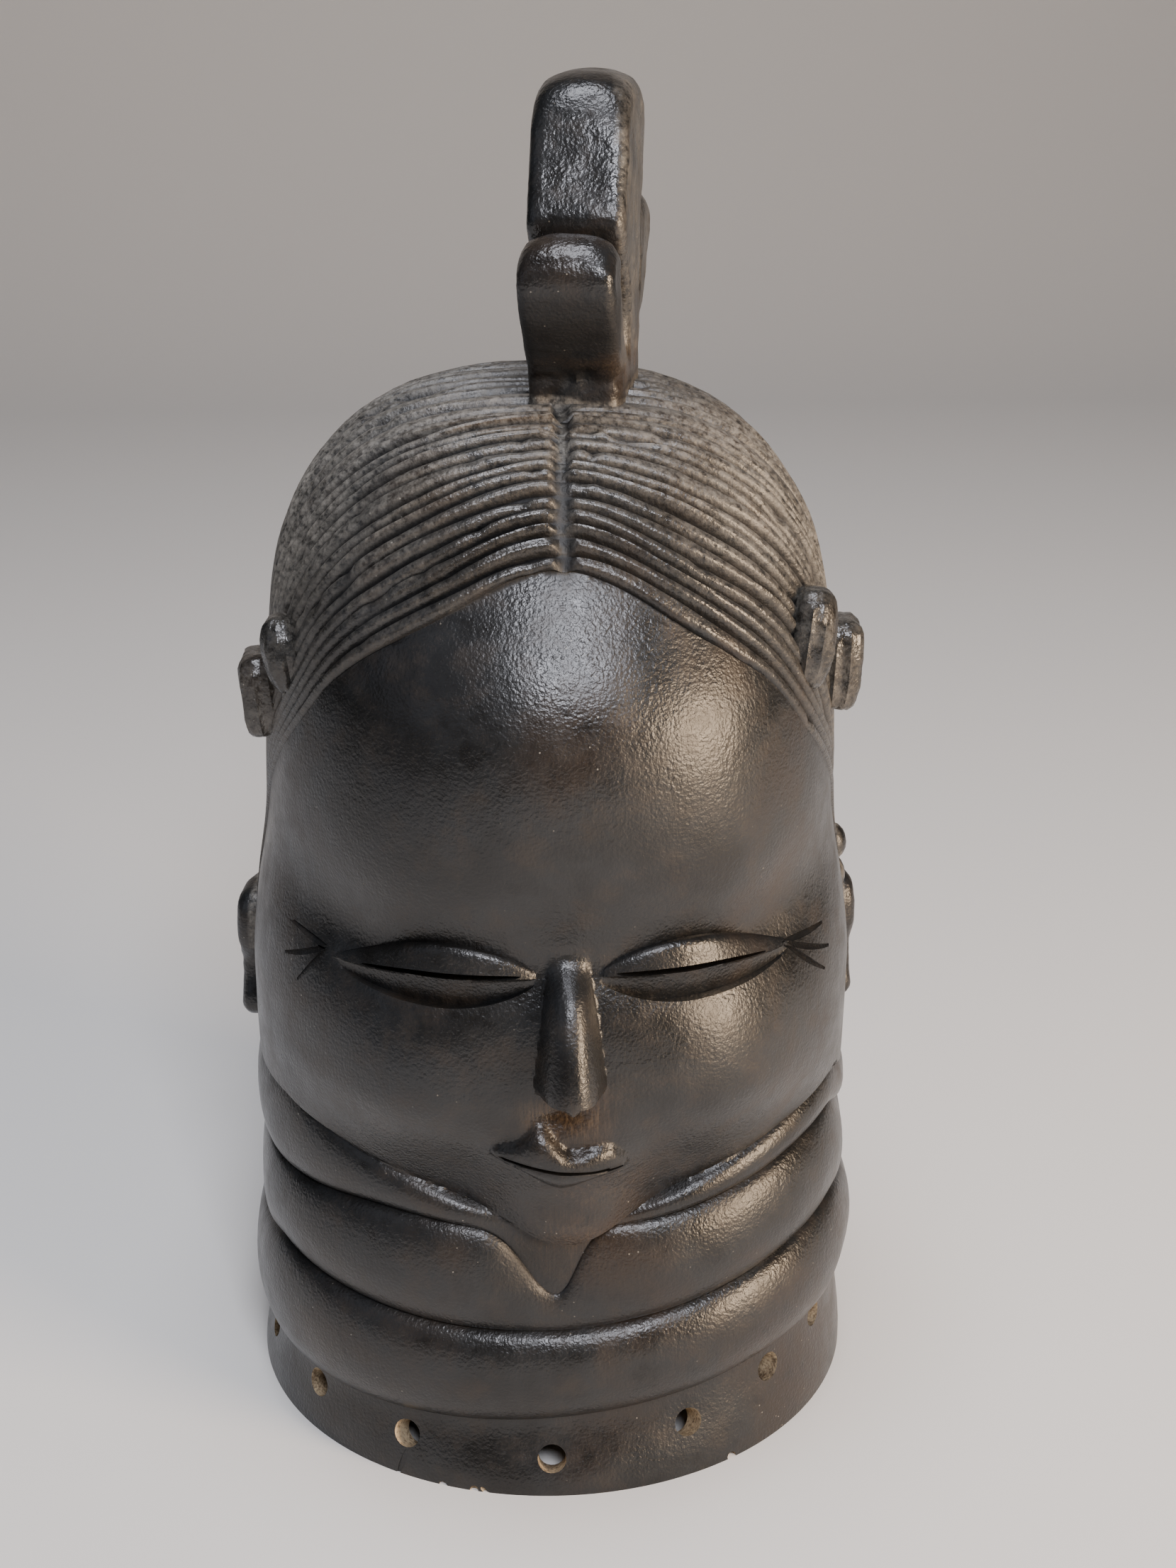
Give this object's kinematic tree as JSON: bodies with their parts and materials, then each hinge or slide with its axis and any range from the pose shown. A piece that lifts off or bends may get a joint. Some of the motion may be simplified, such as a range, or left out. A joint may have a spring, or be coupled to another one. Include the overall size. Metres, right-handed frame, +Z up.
{
  "type": "helmet mask",
  "caption": "Hollow carved wooden helmet mask with a ringed neck, high forehead, slit eyes, combed hair with side knots, ears and a tall lobed crest.",
  "frame": {"origin": "under the middle of the mask's outline, on the surface that its rim stands on", "axes": "+Z up through the crest, the face looks along -Y, +X is on the right of someone who looks at the face"},
  "size_m": [0.2102, 0.2408, 0.4284],
  "materials": {
    "dark_wood": "satin"
  },
  "bodies": {
    "root": {"helmet_mask": "dark_wood"}
  },
  "joints": []
}
